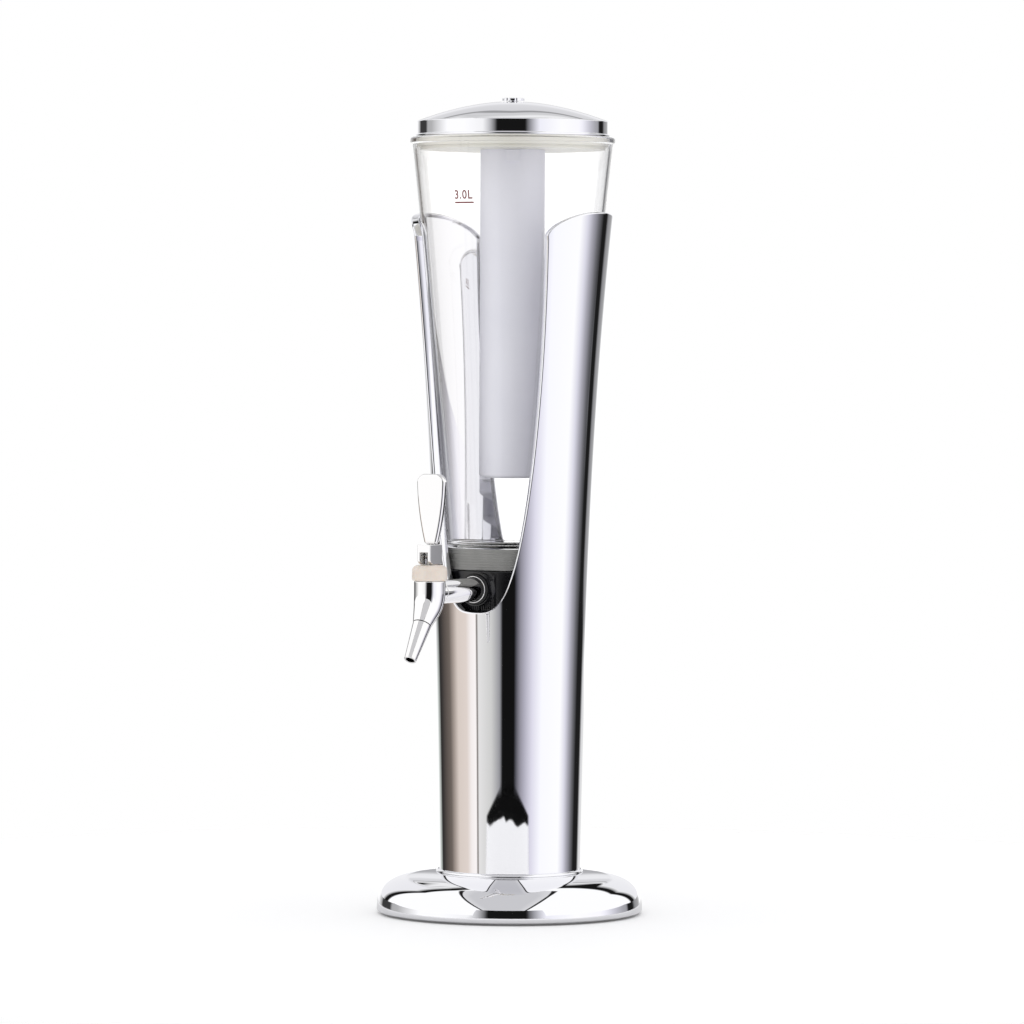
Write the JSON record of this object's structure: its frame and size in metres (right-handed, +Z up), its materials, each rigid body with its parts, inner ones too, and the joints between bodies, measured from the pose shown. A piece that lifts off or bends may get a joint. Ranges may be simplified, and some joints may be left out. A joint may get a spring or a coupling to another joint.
{
  "type": "beer tower dispenser",
  "caption": "Tall table drink tower: clear tank with an ice tube, screwed onto a bright two-winged column with a round base, and emptied by a lever tap.",
  "frame": {"origin": "on the floor, under the centre of the round base", "axes": "+Z up along the column's axis, -Y towards the tap, +X to the right as seen from the tap's side"},
  "size_m": [0.206, 0.2674, 0.6315],
  "materials": {
    "plated_plastic": "mirror-bright chrome plating on moulded plastic",
    "plated_brass": "mirror-bright chrome plating on turned brass",
    "steel": "plain steel",
    "iron": "plain cast iron",
    "brass": "turned brass",
    "black_plastic": "glossy black moulded plastic",
    "matt_black_plastic": "matt black moulded plastic",
    "clear_plastic": "clear moulded plastic",
    "frosted_plastic": "frosted white translucent plastic",
    "cream_plastic": "cream moulded plastic",
    "ivory_plastic": "ivory moulded plastic",
    "silicone": "soft white silicone",
    "rubber": "black rubber"
  },
  "bodies": {
    "stand": {"base_cover": "plated_plastic", "base_plate": "matt_black_plastic", "ballast_ring": "iron", "base_screws": "steel", "rubber_feet": "rubber", "column_ring": "plated_plastic", "column_shell": "plated_plastic", "column_screws": "steel", "outlet_cup": "black_plastic", "cup_washer": "steel", "cup_nut": "matt_black_plastic", "tap_shank": "plated_brass", "shank_gasket": "rubber", "shank_washer": "steel", "shank_nut": "steel", "tap_body": "plated_brass", "nozzle_seal": "rubber", "spout_nozzle": "plated_brass", "bonnet_collar": "cream_plastic", "bonnet_bush": "brass", "stem_seal": "rubber", "return_spring": "steel"},
    "stem": {"valve_stem": "steel", "valve_seal": "silicone"},
    "lever": {"lever_yoke": "plated_brass", "lever_pin": "steel", "handle_stud": "steel", "handle": "plated_plastic"},
    "tank_gasket": {"tank_seal": "silicone"},
    "tank": {"tank": "clear_plastic"},
    "lid": {"lid_dome": "plated_plastic", "lid_plug": "ivory_plastic", "lid_seal": "silicone"},
    "vent": {"vent_cap": "plated_plastic", "vent_clip": "steel"},
    "ice_tube": {"ice_tube": "frosted_plastic", "ice_tube_seal": "rubber"}
  },
  "joints": [
    {"name": "stem_lift", "type": "slide", "parent": "stand", "child": "stem", "axis": [0, 0, 1], "range_m": [0, 0.0021], "deforming": ["return_spring"]},
    {"name": "lever_tilt", "type": "hinge", "parent": "stem", "child": "lever", "pos_m": [0, -0.1305, 0.28215], "axis": [1, 0, 0], "range_deg": [0, 35], "stiffness_Nm_per_rad": 0.08, "springref_deg": -20.05},
    {"name": "tank_rise", "type": "slide", "parent": "stand", "child": "tank_gasket", "axis": [0, 0, 1], "range_m": [0, 0.01605]},
    {"name": "tank_unscrew", "type": "hinge", "parent": "tank_gasket", "child": "tank", "pos_m": [0, 0, 0.285], "axis": [0, 0, 1], "range_deg": [0, 1440]},
    {"name": "lid_lift", "type": "slide", "parent": "tank", "child": "lid", "axis": [0, 0, 1], "range_m": [0, 0.28]},
    {"name": "vent_turn", "type": "hinge", "parent": "lid", "child": "vent", "pos_m": [0, 0, 0.629], "axis": [0, 0, 1], "range_deg": [0, 90]},
    {"name": "ice_tube_twist", "type": "hinge", "parent": "lid", "child": "ice_tube", "pos_m": [0, 0, 0.598], "axis": [0, 0, 1], "range_deg": [0, 40]}
  ],
  "couplings": [
    {"joint": "stem_lift", "follows": "lever_tilt", "m_per_rad": 0.003286},
    {"joint": "tank_rise", "follows": "tank_unscrew", "m_per_rad": 0.00063662}
  ]
}
